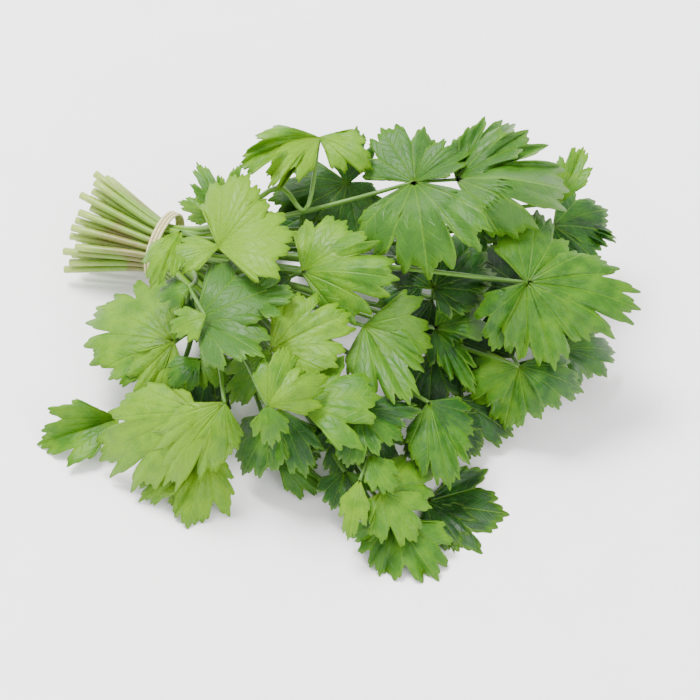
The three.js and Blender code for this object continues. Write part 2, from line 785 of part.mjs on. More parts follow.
function tieMesh(ring) {
  const straw = new THREE.MeshStandardMaterial({ color: 0xe3dfae, roughness: 0.6 });
  const mesh = new THREE.Mesh(ring.rotateX(TIP_UPRIGHT), straw);
  mesh.name = "tie";
  return mesh;
}

giveSlots(STEMS);
const bunch = new THREE.Group();
const ring = tieRing();
layDown(ring);
STEMS.forEach((s, index) => bunch.add(leafyStem(s, index)));
bunch.add(tieMesh(ring));

// The frame's origin is the middle of the box
const box = new THREE.Box3().setFromObject(bunch);
const middle = box.getCenter(new THREE.Vector3());
bunch.position.set(-GRID * Math.round(middle.x / GRID), -GRID * Math.round(middle.y / GRID), 0);

export default bunch;
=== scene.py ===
# %% [markdown]
# This lesson dresses a bunch of coriander that lies on a pale table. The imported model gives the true
# shape and place of 41 leafy stems and of the tie that holds them. It is loaded first, as a frame
# that nothing here may move, and the finer pieces are then made around it.

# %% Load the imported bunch
import json
import math

import bmesh
import bpy
from mathutils import Matrix, Vector
from mathutils.bvhtree import BVHTree

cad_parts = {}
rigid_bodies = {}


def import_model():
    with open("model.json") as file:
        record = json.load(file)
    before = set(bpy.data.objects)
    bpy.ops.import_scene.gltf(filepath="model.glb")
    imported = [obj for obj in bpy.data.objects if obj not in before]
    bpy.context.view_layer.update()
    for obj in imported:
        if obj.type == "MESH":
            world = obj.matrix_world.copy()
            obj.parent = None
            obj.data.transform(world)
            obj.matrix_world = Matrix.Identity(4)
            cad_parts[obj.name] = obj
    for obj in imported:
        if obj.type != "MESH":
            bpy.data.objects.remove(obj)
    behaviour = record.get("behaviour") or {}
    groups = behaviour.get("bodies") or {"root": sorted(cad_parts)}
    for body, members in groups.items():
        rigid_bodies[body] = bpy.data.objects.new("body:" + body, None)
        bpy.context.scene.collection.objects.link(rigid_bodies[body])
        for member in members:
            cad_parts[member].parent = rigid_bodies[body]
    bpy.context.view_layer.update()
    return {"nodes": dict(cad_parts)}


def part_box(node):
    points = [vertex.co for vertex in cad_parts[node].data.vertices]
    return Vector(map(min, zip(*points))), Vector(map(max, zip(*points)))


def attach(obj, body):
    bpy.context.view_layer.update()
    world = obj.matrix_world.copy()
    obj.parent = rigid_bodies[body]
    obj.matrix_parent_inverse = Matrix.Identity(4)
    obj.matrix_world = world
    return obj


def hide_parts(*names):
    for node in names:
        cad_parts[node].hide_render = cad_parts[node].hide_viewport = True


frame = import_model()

# %% [markdown]
# The bunch was laid out the way it is seen from the front, 50 degrees above the table: across the
# view, up it, and towards the viewer, in millimetres. Working in that frame keeps every leaflet
# where the eye expects it. The last step tips the whole bunch upright and turns it into metres.

# %% The frame of the view
LOOK_DOWN = math.radians(50)
SIN = math.sin(LOOK_DOWN)
COS = math.cos(LOOK_DOWN)
UPRIGHT = Matrix.Rotation(math.pi / 2 - LOOK_DOWN, 3, "X")
VIEWER = Vector((0, 0, 1))
SKY = Vector((0, COS, SIN))
BETWEEN = (SKY + VIEWER).normalized()


def seen(place):
    across, up, height = place
    return Vector((across, up, (height - up * COS) / SIN))


def on_table(right, away, height):
    return UPRIGHT.inverted() @ Vector((right, away, height))


TIE = seen((-75, 66, 22))
CUT = seen((-108, 79, 23))
tie_low, tie_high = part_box("tie")
SHIFT = (tie_low + tie_high) * 500 - UPRIGHT @ TIE


def to_world(point):
    return (UPRIGHT @ point + SHIFT) / 1000


def to_seen(point):
    return UPRIGHT.inverted() @ (point * 1000 - SHIFT)


print("the view's frame sits at", [round(c, 2) for c in SHIFT])

# %% [markdown]
# Each leafy stem is one plain row: the place where its leaflets meet, then the tip of each leaflet
# with its width over its length and the way it bends. A repeatable draw gives the small
# irregularities, so the bunch grows the same way every time.

# %% The leafy stems, from the furthest to the nearest
def draw(seed, turn):
    value = math.sin(seed * 12.9898 + turn * 78.233) * 43758.5453
    return value - math.floor(value)


def leaf(tip, wide, start=None, roll=0, arch=0.1, droop=0.3, fold=0, ripple=0.03, cut=0.34):
    bend = dict(roll=math.radians(roll), arch=arch, droop=droop, fold=fold, ripple=ripple, cut=cut)
    return dict(tip=seen(tip), wide=wide, start=seen(start) if start else None, facing=BETWEEN, **bend)


def stem(name, hub, leaves, via=None):
    return dict(name=name, hub=seen(hub), leaves=leaves, via=seen(via) if via else None)


def spray(name, place, heading, reach, drop, seed):
    right, away, height = place
    leaves = []
    for k, turn in enumerate((44, -44)):
        angle = math.radians(heading + turn + 24 * (draw(seed, k) - 0.5))
        length = reach * (0.9 + 0.2 * draw(seed, k + 5))
        flat = math.sqrt(max(length**2 - drop**2, 100))
        low = height - drop * (0.85 + 0.3 * draw(seed, k + 9))
        tip = on_table(right + flat * math.cos(angle), away + flat * math.sin(angle), low)
        bend = dict(roll=0, arch=0.16, droop=0.3, fold=0, ripple=0.03, cut=0.34)
        wide = 0.9 + 0.15 * draw(seed, k + 13)
        leaves.append(dict(tip=tip, wide=wide, start=None, facing=SKY, **bend))
    return dict(name=name, hub=on_table(*place), leaves=leaves, via=None)


STEMS = [
    spray("stem_back_1", [-34, 76, 13], 108, 26, 13, 1),
    spray("stem_back_2", [-4, 70, 16], 95, 27, 16, 2),
    spray("stem_back_3", [26, 64, 18], 88, 30, 18, 3),
    spray("stem_back_4", [57, 60, 18], 75, 30, 18, 4),
    spray("stem_right_1", [86, 48, 18], 48, 29, 18, 5),
    spray("stem_back_5", [72, 58, 36], 62, 27, 10, 9),
    spray("stem_right_2", [94, 30, 17], 8, 26, 17, 6),
    stem("stem_right_back", [92, 74, 42], [
        leaf([116, 81, 34], 1.1),
        leaf([111, 58, 28], 1.15),
        leaf([120, 69, 18], 0.36),
    ]),
    stem("stem_right_upright", [95, 84, 54], [
        leaf([105, 108, 64], 0.62, fold=0.35),
        leaf([100, 99, 63], 0.85, start=[97, 90, 58]),
    ]),
    stem("stem_inner_pale", [57, 74, 52], [
        leaf([62, 60, 46], 0.85),
        leaf([76, 76, 54], 1.0),
    ]),
    stem("stem_right_low", [94, 21, 20], [
        leaf([119, 20, 2], 0.75),
        leaf([108, 12, -1], 0.8),
    ]),
    stem("stem_back_dark", [4, 92, 60], [
        leaf([8, 117, 74], 0.8),
        leaf([15, 80, 56], 0.95),
        leaf([-30, 84, 50], 0.9),
        leaf([10, 62, 44], 1.1),
    ]),
    stem("stem_right_bright", [76, 14, 34], [
        leaf([70, -13, 10], 1.05),
        leaf([104, 3, 12], 0.75),
        leaf([52, 4, 22], 0.9),
    ]),
    stem("stem_front_dark", [37, -43, 2], [
        leaf([72, -48, -5], 1.08, arch=0, droop=0.05, ripple=0.01),
        leaf([52, -62, -1], 0.95),
    ]),
    stem("stem_front_pale", [-26, -25, 13], [
        leaf([-5, -39, -1], 0.7),
        leaf([-9, -25, 4], 0.8),
    ]),
    stem("stem_front_low", [23, -50, 10], [
        leaf([17, -73, -1], 1.0),
        leaf([42, -75, -1], 1.05),
        leaf([4, -57, 2], 0.75),
    ]),
    stem("stem_front_notched", [3, -30, 12], [
        leaf([-3, -46, -1], 1.1),
        leaf([12, -46, 0], 0.9),
    ]),
    stem("stem_front_bright", [18, -38, 20], [
        leaf([41, -27, 14], 0.8),
        leaf([33, -59, 4], 1.1, cut=0.42),
        leaf([13, -51, 8], 0.6),
    ]),
    stem("stem_front_right", [38, -1, 34], [
        leaf([57, -15, 24], 0.85),
        leaf([47, -38, 10], 0.7),
    ]),
    stem("stem_front_narrow", [13, -23, 28], [
        leaf([4, -58, 1], 0.5, start=[9, -33, 22]),
        leaf([23, -39, 16], 0.8),
    ]),
    stem("stem_inner_narrow", [41, 30, 40], [
        leaf([49, 11, 30], 0.85),
        leaf([58, 2, 24], 0.42),
        leaf([54, 26, 36], 0.9),
        leaf([66, 44, 38], 0.95),
    ]),
    stem("stem_inner_dark", [40, 47, 46], [
        leaf([67, 53, 46], 0.95),
        leaf([56, 37, 38], 0.85),
        leaf([60, 68, 46], 1.1),
        leaf([26, 64, 46], 1.0),
    ]),
    stem("stem_far_right", [79, 49, 60], [
        leaf([84, 80, 70], 1.0),
        leaf([128, 38, 50], 0.75, arch=0.14),
        leaf([91, 12, 36], 0.9, arch=0.14),
        leaf([64, 20, 36], 0.9),
    ]),
    stem("stem_top_right", [32, 92, 70], [
        leaf([18, 116, 79], 1.2, arch=0.06),
        leaf([58, 108, 76], 0.55, fold=0.3),
        leaf([76, 118, 74], 0.7, start=[50, 93, 70]),
        leaf([98, 88, 64], 1.05, start=[50, 93, 70], cut=0.45),
        leaf([38, 50, 56], 1.2, cut=0.4),
    ]),
    stem("stem_inner_lobed", [9, -4, 38], [
        leaf([27, -17, 28], 1.0),
        leaf([36, -5, 32], 0.5),
        leaf([4, -28, 20], 1.0),
    ]),
    stem("stem_left_folded", [-93, -8, 9], [
        leaf([-128, -19, 1], 0.75, fold=0.5, roll=-18),
        leaf([-101, -19, 0], 0.8),
    ]),
    stem("stem_left_front", [-55, -22, 20], [
        leaf([-84, -43, -1], 0.6),
        leaf([-63, -54, -1], 1.0),
        leaf([-45, -42, 2], 0.55),
    ]),
    stem("stem_middle_right", [11, 31, 52], [
        leaf([40, 22, 44], 1.4),
        leaf([30, -2, 38], 0.8),
    ]),
    stem("stem_front_shade", [-24, -4, 34], [
        leaf([-13, -33, 12], 0.75),
        leaf([-40, -32, 2], 0.72, cut=0.2),
    ]),
    stem("stem_middle_front", [-16, -2, 44], [leaf([18, 1, 40], 1.3, cut=0.42)]),
    stem("stem_middle_top", [-15, 54, 58], [
        leaf([4, 76, 60], 0.9),
        leaf([26, 50, 54], 1.0, cut=0.42),
    ]),
    stem("stem_left_broad", [-69, 24, 38], [
        leaf([-104, 40, 24], 0.95),
        leaf([-97, 8, 20], 0.8),
        leaf([-76, 41, 40], 0.55),
        leaf([-82, -4, 14], 0.9),
    ]),
    stem("stem_left_young", [-58, 17, 38], [
        leaf([-46, 6, 34], 1.1, ripple=0.07),
        leaf([-72, 5, 30], 0.9, ripple=0.07),
    ]),
    stem("stem_middle", [-28, 21, 52], [
        leaf([6, 36, 54], 0.95),
        leaf([-45, -2, 32], 0.8),
    ]),
    stem("stem_front_upper", [-29, -2, 40], [
        leaf([-20, 23, 46], 0.7),
        leaf([-3, 10, 43], 0.75),
        leaf([-27, -20, 30], 0.9),
    ]),
    stem("stem_left_pale", [-47, -1, 36], [
        leaf([-92, -4, 12], 0.5, start=[-57, -5, 33]),
        leaf([-101, -26, 6], 0.85, start=[-57, -5, 33], arch=0.12),
        leaf([-73, -36, 12], 0.7, arch=0.12),
        leaf([-53, -27, 22], 0.8),
    ]),
    stem("stem_arched", [-8, 111, 75], [
        leaf([-30, 89, 66], 0.6, arch=0.2),
        leaf([-42, 97, 62], 0.6, arch=0.25),
        leaf([15, 97, 66], 0.75, arch=0.25),
    ], via=[-14, 80, 56]),
    stem("stem_grey_green", [-59, 33, 44], [
        leaf([-25, 47, 50], 1.15),
        leaf([-30, 18, 46], 0.85),
        leaf([-17, 44, 46], 0.9, start=[-38, 42, 44]),
    ]),
    stem("stem_left_curly", [-62, 47, 48], [
        leaf([-76, 43, 42], 0.9, ripple=0.07),
        leaf([-70, 28, 42], 1.0, start=[-55, 35, 48], ripple=0.07),
    ]),
    stem("stem_upright_edge", [-50, 77, 42], [
        leaf([-60, 101, 56], 0.6, roll=20),
        leaf([-41, 100, 58], 0.5, roll=20),
        leaf([-68, 84, 46], 0.7),
    ]),
    stem("stem_top_left", [-50, 64, 48], [
        leaf([-17, 70, 54], 1.15, cut=0.24),
        leaf([-37, 96, 60], 0.8, cut=0.24),
        leaf([-73, 59, 42], 0.7),
        leaf([-79, 46, 30], 0.6, start=[-66, 71, 46], arch=0.2),
    ]),
]
print("leafy stems:", len(STEMS), "leaflets:", sum(len(s["leaves"]) for s in STEMS))

# %% [markdown]
# The stems lie in the tie like stacked pipes. Stems that leave it the same way share a column, the
# nearest on top. Past the tie each stem bows out on a smooth curve to the place of its leaflets.

# %% Slots in the bundle and the line of each stem
STEM_PITCH = 3.45
ROW_RISE = STEM_PITCH * math.sin(math.pi / 3)
ROWS = (5, 6, 7, 8, 7, 6, 5)
COLUMN = 0.4 * STEM_PITCH
ALONG = (TIE - CUT) - (TIE - CUT).project(SKY)
ALONG.normalize()
RISE = VIEWER - VIEWER.project(ALONG)
RISE.normalize()
SIDE = RISE.cross(ALONG)
CUT_SPREAD = (2.1, 1.2)
CUT_STAGGER = 7
NECK = 4
THROAT = 20
THROAT_SPREAD = (1.6, 1.75)
RINGS_TO_HUB = 6
BOW = 0.35


def slots():
    middle = (len(ROWS) - 1) / 2
    return [
        ((k - (count - 1) / 2) * STEM_PITCH, (row - middle) * ROW_RISE)
        for row, count in enumerate(ROWS)
        for k in range(count)
    ]


def give_slots(stems):
    def turn_of(s):
        way = s["hub"] - TIE
        return math.atan2(way.dot(SIDE), way.dot(ALONG))

    free = sorted(slots(), key=lambda slot: slot[0])[: len(stems)]
    turned = sorted(stems, key=turn_of)
    while free:
        edge = free[0][0] + COLUMN
        column = [slot for slot in free if slot[0] < edge]
        free = free[len(column) :]
        group = sorted(turned[: len(column)], key=stems.index)
        turned = turned[len(column) :]
        for s, slot in zip(group, sorted(column, key=lambda slot: slot[1])):
            s["slot"] = slot


def in_bundle(middle, slot, spread):
    return middle + SIDE * slot[0] * spread[0] + RISE * slot[1] * spread[1]


def on_curve(knots, t):
    """A point of the centripetal curve through the knots."""
    last = len(knots) - 1
    place = min(t, 1) * last
    k = min(int(place), last - 1)
    weight = place - k
    p1, p2 = knots[k], knots[k + 1]
    p0 = knots[k - 1] if k > 0 else 2 * p1 - p2
    p3 = knots[k + 2] if k + 2 <= last else 2 * p2 - p1
    d0, d1, d2 = (max((b - a).length, 1e-8) ** 0.5 for a, b in ((p0, p1), (p1, p2), (p2, p3)))
    m1 = d1 * ((p1 - p0) / d0 - (p2 - p0) / (d0 + d1) + (p2 - p1) / d1)
    m2 = d1 * ((p2 - p1) / d1 - (p3 - p1) / (d1 + d2) + (p3 - p2) / d2)
    c2 = -3 * p1 + 3 * p2 - 2 * m1 - m2
    c3 = 2 * p1 - 2 * p2 + m1 + m2
    return p1 + m1 * weight + c2 * weight**2 + c3 * weight**3


def stem_line(s, index):
    """The knots of a stem's curve, and where its rings are along it."""
    stagger = CUT_STAGGER * (draw(index, 1) - 0.5)
    cut = in_bundle(CUT, s["slot"], CUT_SPREAD) + ALONG * stagger
    before = in_bundle(TIE - ALONG * NECK, s["slot"], (1, 1))
    after = in_bundle(TIE + ALONG * NECK, s["slot"], (1, 1))
    throat = in_bundle(TIE + ALONG * THROAT, s["slot"], THROAT_SPREAD)
    way = s["hub"] - throat
    turned = (1 - way.normalized().dot(ALONG)) / 2
    bow = throat.lerp(s["hub"], 0.5) + ALONG * BOW * turned * way.length
    knots = [cut, before, after, throat, bow] + ([s["via"]] if s["via"] else []) + [s["hub"]]
    step = 1 / (len(knots) - 1)
    rest = 1 - 3 * step
    stops = [0, 0.5 * step, step, 2 * step, 3 * step]
    stops += [3 * step + rest * k / RINGS_TO_HUB for k in range(1, RINGS_TO_HUB + 1)]
    return knots, stops


give_slots(STEMS)
print("stems in the tie:", len({s["slot"] for s in STEMS}))

# %% [markdown]
# The bunch was stacked by lifting each stem towards the viewer until it lay clear of the stems under
# it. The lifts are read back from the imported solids: a line of sight through a place meets the
# solid's near and far side, and the blade lies midway between them.

# %% Read how far each stem was lifted
FAR_ABOVE = 400
STEP_ON = 1e-3
LOST = 60


def sight(node):
    """A function that gives the middles of a node's layers along the line of sight at a place."""
    mesh = frame["nodes"][node].data
    corners = [to_seen(v.co) for v in mesh.vertices]
    tree = BVHTree.FromPolygons(corners, [tuple(p.vertices) for p in mesh.polygons])

    def layers(place):
        start = Vector((place.x, place.y, FAR_ABOVE))
        depths = []
        while len(depths) < 24:
            hit = tree.ray_cast(start, -VIEWER)[0]
            if hit is None:
                break
            depths.append(hit.z)
            start = hit - VIEWER * STEP_ON
        return [(near + far) / 2 for near, far in zip(depths[::2], depths[1::2])]

    return layers


def lift_at(layers, raws, guess):
    """The lift nearest to the guess at the first of the places that the line of sight meets."""
    for raw in raws:
        found = [middle - raw.z for middle in layers(raw)]
        best = min(found, key=lambda lift: abs(lift - guess), default=math.inf)
        if abs(best - guess) < LOST:
            return best
    return guess


# %% [markdown]
# A grid bent to a formula is the plainest way to make both a stem and a leaflet: an operator makes
# the grid, and its rows and columns are then carried to their places. A stem is the grid rolled
# round its line, with shallow ribs as real coriander stems have, and its two ends filled.

# %% Helpers for a bent grid
def bent_grid(bm, columns, rows, place):
    """Adds a grid to bm, its corner (u, v) moved to place(u, v), and returns its corners by (u, v)."""
    made = bmesh.ops.create_grid(bm, x_segments=columns, y_segments=rows, size=1)
    corners = {}
    for corner in made["verts"]:
        u = round((corner.co.x + 1) / 2 * columns)
        v = round((corner.co.y + 1) / 2 * rows)
        corners[(u, v)] = corner
    for (u, v), corner in corners.items():
        corner.co = place(u, v)
    return corners


def between(values, stops, t):
    """The value at t between the two stops round it."""
    for k in range(1, len(stops)):
        if t <= stops[k] or k == len(stops) - 1:
            share = (t - stops[k - 1]) / max(stops[k] - stops[k - 1], 1e-9)
            return values[k - 1] + (values[k] - values[k - 1]) * min(max(share, 0), 1)


LAYER_NAMES = ("leaf_x", "leaf_y", "tone", "grey", "along", "shade")


def layers_of(bm):
    held = bm.verts.layers.float
    return {name: held.get(name) or held.new(name) for name in LAYER_NAMES}


# %% Roll a stem
CUT_RADIUS = 1.7
TIE_RADIUS = 1.5
HUB_RADIUS = 0.95
STALK_RADIUS = 0.8
INSIDE = 0.9
STEM_SIDES = 12
RINGS_A_STEP = 3
RIB = 0.05
STALK_STEPS = 6


def roll_stem(bm, points, radii, along, tone):
    """A closed stem round the points. Its corners know how far along they are."""
    layer = layers_of(bm)
    across = []
    a = VIEWER.copy()
    for k, point in enumerate(points):
        ahead = (points[min(k + 1, len(points) - 1)] - points[max(k - 1, 0)]).normalized()
        a = (a - ahead * a.dot(ahead)).normalized()
        across.append((a.copy(), a.cross(ahead)))

    def place(u, v):
        angle = 2 * math.pi * u / STEM_SIDES
        radius = radii[v] * INSIDE * (1 + RIB * math.cos(4 * angle))
        one, two = across[v]
        return points[v] + one * radius * math.cos(angle) + two * radius * math.sin(angle)

    corners = bent_grid(bm, STEM_SIDES, len(points) - 1, place)
    for (_, v), corner in corners.items():
        corner[layer["along"]] = along[v]
        corner[layer["tone"]] = tone
    bmesh.ops.remove_doubles(bm, verts=list(corners.values()), dist=1e-4)
    rims = [e for c in corners.values() if c.is_valid for e in c.link_edges if e.is_boundary]
    bmesh.ops.holes_fill(bm, edges=list(set(rims)), sides=STEM_SIDES + 1)
    for c in corners.values():
        if c.is_valid:
            for face in c.link_faces:
                face.material_index = 1


# %% [markdown]
# Coriander leaflets are cut into lobes, and the lobes into round teeth with narrow nicks between
# them. The outline runs from nick to tooth on quarter ellipses, steep at the nick and flat on the
# tooth. The blade is a grid that fans out from its foot to this outline, arched and rippled.

# %% The outline of a leaflet
SMALL_LEAF = 38
INNER_RING = 0.4
FOOT = (54, 0.2)
BASE_SINK = 0.4
WIDTH_SHARE = 1.25
RIPPLES = 4.5
FULL_TURN = 6.28
STEPS_A_TOOTH = 6
ROUND = 0.55
SMALL_TEETH = 27
SMALL_TOOTH = 0.07


def half_outline(blade, small):
    slit = 1 - blade["cut"]
    if small:
        return [(9, 0.87), (17, 0.93), (27, slit), (39, 0.9), (48, 0.75), (57, 0.74), FOOT]
    middle = [(8, 0.88), (15, 0.97), (23, slit)]
    side = [(32, 0.93), (39, 0.8), (46, 0.87), (53, 0.72), (60, 0.72), (67, 0.54)]
    return middle + side + [FOOT]


def leaf_outline(blade, small, seed):
    half = half_outline(blade, small)
    whole = [(-angle, reach) for angle, reach in reversed(half)] + [(0, 1)] + half
    outline = []
    for k, (angle, reach) in enumerate(whole):
        turn = math.radians(angle + 3 * (draw(seed, k) - 0.5))
        out = 1 if angle == 0 else reach * (1 + 0.1 * (draw(seed, k + 40) - 0.5))
        outline.append((turn, out))
    return outline


def rounded(outline):
    """The outline with round teeth, each point with its place between the plain outline's points."""
    fine = []
    for k in range(len(outline) - 1):
        (turn_a, out_a), (turn_b, out_b) = outline[k], outline[k + 1]
        for j in range(STEPS_A_TOOTH):
            phi = math.pi / 2 * j / STEPS_A_TOOTH
            rising = out_b > out_a
            even = j / STEPS_A_TOOTH
            curved = math.sin(phi) if rising else 1 - math.cos(phi)
            outwards = even + (curved - even) * ROUND
            turn = turn_a + (turn_b - turn_a) * even
            nick = SMALL_TOOTH * (1 - abs(math.cos(SMALL_TEETH * turn)))
            fine.append((turn, (out_a + (out_b - out_a) * outwards) * (1 - nick), k + even))
    fine.append((*outline[-1], len(outline) - 1))
    return fine


def blade_point(blade, base, turn, out, phase):
    ahead = blade["tip"] - base
    length = ahead.length
    ahead = ahead.normalized()
    left = blade["facing"].cross(ahead).normalized()
    left = Matrix.Rotation(blade["roll"], 3, ahead) @ left
    face = ahead.cross(left)
    x = out * math.cos(turn)
    y = out * math.sin(turn)
    height = (
        blade["arch"] * 4 * x * (1 - x)
        - blade["droop"] * y * y
        + blade["fold"] * abs(y)
        + blade["ripple"] * out * out * math.sin(RIPPLES * turn + phase)
    )
    sideways = y * blade["wide"] / WIDTH_SHARE
    return base + (ahead * x + left * sideways + face * height) * length


# %% Bend a leaflet
LEAF_ROWS = 8
LEAF_THICK = 0.45
INWARDS = (0.98, 0.94, 0.88, 0.8)
VEIN_TURN = math.radians(27)
PLEAT = 0.006


def pleat(turn, out):
    """The blade sinks a little along its main veins and swells between them."""
    off = abs(turn / VEIN_TURN - round(turn / VEIN_TURN))
    return PLEAT * math.sin(math.pi * min(off * 2, 1)) * math.sin(math.pi * min(out, 1))


def bend_leaflet(bm, blade, base, seed, layers, lift_foot, tone, grey):
    small = (blade["tip"] - base).length < SMALL_LEAF
    outline = leaf_outline(blade, small, seed)
    spokes = [math.radians(a) for a in ((-42, 0, 42) if small else (-58, -28, 0, 28, 58))]
    phase = FULL_TURN * draw(seed, 90)
    length = (blade["tip"] - base).length

    def read(turn, out, guess):
        places = [blade_point(blade, base, turn, out * share, phase) for share in INWARDS]
        return lift_at(layers, places, guess)

    inner = [read(turn, INNER_RING, lift_foot) for turn in spokes]
    outer = [read(turn, out, between(inner, spokes, turn)) for turn, out in outline]
    fine = rounded(outline)
    tooth = list(range(len(outline)))
    shade = draw(seed, 70)
    layer = layers_of(bm)

    def coordinates(u, v):
        turn, edge, place = fine[u]
        return turn, edge * v / LEAF_ROWS, place

    def place(u, v):
        turn, out, at = coordinates(u, v)
        edge = max(between([o for _, o in outline], tooth, at), INNER_RING + 0.05)
        ring = between(inner, spokes, turn)
        rim = between(outer, tooth, at)
        if out < INNER_RING:
            lift = lift_foot + (ring - lift_foot) * out / INNER_RING
        else:
            lift = ring + (rim - ring) * min((out - INNER_RING) / (edge - INNER_RING), 1)
        point = blade_point(blade, base, turn, out, phase)
        point += VIEWER * (lift + length * pleat(turn, out))
        height = point.y * COS + point.z * SIN
        return point + VIEWER * max((LEAF_THICK / 2 - height) / SIN, 0)

    corners = bent_grid(bm, len(fine) - 1, LEAF_ROWS, place)
    for (u, v), corner in corners.items():
        turn, out, _ = coordinates(u, v)
        corner[layer["leaf_x"]] = out * math.cos(turn)
        corner[layer["leaf_y"]] = out * math.sin(turn)
        corner[layer["tone"]] = tone
        corner[layer["grey"]] = grey
        corner[layer["shade"]] = shade
        corner[layer["along"]] = v / LEAF_ROWS
    bmesh.ops.remove_doubles(bm, verts=list(corners.values()), dist=1e-4)
    sheet = list({f for c in corners.values() if c.is_valid for f in c.link_faces})
    bmesh.ops.recalc_face_normals(bm, faces=sheet)
    facing = sum((f.normal * f.calc_area() for f in sheet), Vector()).dot(VIEWER)
    if facing < 0:
        bmesh.ops.reverse_faces(bm, faces=sheet)
    for f in sheet:
        f.material_index = 0
    upper = list({c for f in sheet for c in f.verts})
    for c in upper:
        c.normal_update()
    faced = {c.co.to_tuple(6): c.normal.copy() for c in upper}
    made = bmesh.ops.extrude_face_region(bm, geom=sheet, use_keep_orig=True)["geom"]
    lower = [c for c in made if isinstance(c, bmesh.types.BMVert)]
    for side, corners_there in ((0.5, upper), (-0.5, lower)):
        for c in corners_there:
            c.co += faced[c.co.to_tuple(6)] * side * LEAF_THICK
    shell = {f for c in upper + lower for f in c.link_faces}
    bmesh.ops.recalc_face_normals(bm, faces=list(shell))
    for f in shell:
        f.material_index = 0


# %% [markdown]
# Young outer stems are bright yellow-green and mature ones a muted grey-green. The stems deep in the bunch get
# dark tones, which are painted shade for the dark between the leaves there. Each leafy stem gets its own tone,
# from 0 for deep green to 1 for yellow-green.

# %% Tones of the leafy stems, with painted shade in the dark tones of the deep ones
LEAF_TONES_AND_SHADE = {
    "stem_left_pale": 0.95, "stem_left_folded": 0.8, "stem_left_front": 0.85, "stem_left_broad": 0.8,
    "stem_left_young": 0.6, "stem_left_curly": 0.7, "stem_top_left": 1.0, "stem_upright_edge": 0.75,
    "stem_arched": 0.95, "stem_middle_top": 0.75, "stem_middle": 0.8, "stem_front_upper": 0.8,
    "stem_middle_front": 0.7, "stem_middle_right": 0.75, "stem_front_bright": 0.8,
    "stem_front_narrow": 0.75, "stem_front_low": 0.6, "stem_far_right": 0.55, "stem_top_right": 0.45,
    "stem_grey_green": 0.4, "stem_right_upright": 0.6, "stem_right_bright": 0.45,
    "stem_front_right": 0.4, "stem_inner_narrow": 0.3, "stem_inner_lobed": 0.35,
    "stem_front_notched": 0.35, "stem_front_pale": 0.5, "stem_front_shade": 0.4,
    "stem_inner_pale": 0.5, "stem_front_dark": 0.12, "stem_right_back": 0.15,
    "stem_inner_dark": 0.15, "stem_back_dark": 0.12, "stem_right_low": 0.3,
}
HIDDEN_TONE = 0.25
GREYS = {"stem_grey_green": 0.9, "stem_top_right": 0.55, "stem_middle_right": 0.5, "stem_back_dark": 0.3}


# %% [markdown]
# A real bunch has more leaflets than its main ones: low down, between the stems, small ones fill the gaps.
# Here they are coloured near black-green, which is painted shade for the dark deep in the bunch. Some
# stems get a few of these on stalks of their own. They have no solid to follow, so they keep the place
# given here, and the table holds them up where they reach it.

# %% The small leaflets deep in the bunch, coloured dark as painted shade
INNER_LEAVES = {
    "stem_back_dark": [leaf([-30, 70, 30], 1.0, [0, 84, 40]), leaf([-8, 60, 30], 1.0, [-2, 88, 40])],
    "stem_middle_top": [leaf([-44, 40, 26], 1.0, [-20, 52, 40])],
    "stem_inner_dark": [
        leaf([26, 22, 22], 1.1, [40, 42, 32]),
        leaf([50, 12, 16], 1.0, [46, 42, 30]),
        leaf([16, 40, 30], 1.0, [36, 50, 34]),
    ],
    "stem_inner_narrow": [leaf([38, -8, 12], 1.1, [40, 20, 26]), leaf([66, 8, 14], 1.0, [48, 26, 28])],
    "stem_far_right": [leaf([68, 70, 34], 1.1, [80, 45, 40]), leaf([62, 22, 20], 1.0, [78, 44, 36])],
    "stem_inner_lobed": [leaf([-2, -34, 8], 1.1, [6, -10, 22]), leaf([22, -30, 8], 1.0, [12, -8, 22])],
    "stem_front_right": [
        leaf([60, -24, 5], 1.0, [44, -6, 20]),
        leaf([40, -32, 4], 1.1, [40, -8, 20]),
        leaf([74, -16, 4], 1.0, [50, 0, 20]),
    ],
    "stem_front_shade": [leaf([-34, -26, 6], 1.0, [-26, -8, 22]), leaf([-12, -30, 6], 1.1, [-20, -8, 22])],
    "stem_left_young": [leaf([-50, -8, 12], 1.1, [-56, 12, 26]), leaf([-36, 2, 16], 1.0, [-54, 14, 28])],
    "stem_left_curly": [leaf([-60, 24, 20], 1.1, [-60, 44, 36]), leaf([-88, 30, 14], 1.0, [-64, 42, 30])],
    "stem_right_low": [leaf([78, -2, 4], 1.0, [88, 18, 14])],
    "stem_upright_edge": [leaf([-32, 62, 26], 1.1, [-48, 76, 34])],
    "stem_right_bright": [leaf([60, 30, 16], 1.1, [74, 18, 24])],
}
# Painted shade: this near black-green tone of the small leaflets stands in for the shade deep in the bunch.
PAINTED_SHADE_TONE = 0.12
INNER_SEED = 1000
print("small dark leaflets:", sum(len(leaves) for leaves in INNER_LEAVES.values()))


def grow_inner(bm, name, index, hub):
    for k, blade in enumerate(INNER_LEAVES.get(name, [])):
        steps = [hub.lerp(blade["start"], j / STALK_STEPS) for j in range(STALK_STEPS + 1)]
        roll_stem(bm, steps, [STALK_RADIUS] * len(steps), [1] * len(steps), PAINTED_SHADE_TONE)
        base = blade["start"] + (blade["start"] - blade["tip"]).normalized() * BASE_SINK
        bend_leaflet(bm, blade, base, INNER_SEED + 10 * index + k, lambda place: [], 0, PAINTED_SHADE_TONE, 0)


# %% [markdown]
# Now the leafy stems are made one by one. Each is one piece, because it grew as one: its stem, its
# leaf stalks and its leaflets are built in the frame of the view and tipped upright together.

# %% Make every leafy stem
def to_piece(bm, name):
    """Tips what was built upright and makes it an object; the caller then attaches it to the bunch."""
    for corner in bm.verts:
        corner.co = to_world(corner.co)
    mesh = bpy.data.meshes.new(name)
    bm.to_mesh(mesh)
    bm.free()
    for face in mesh.polygons:
        face.use_smooth = True
    piece = bpy.data.objects.new(name, mesh)
    bpy.context.scene.collection.objects.link(piece)
    return piece


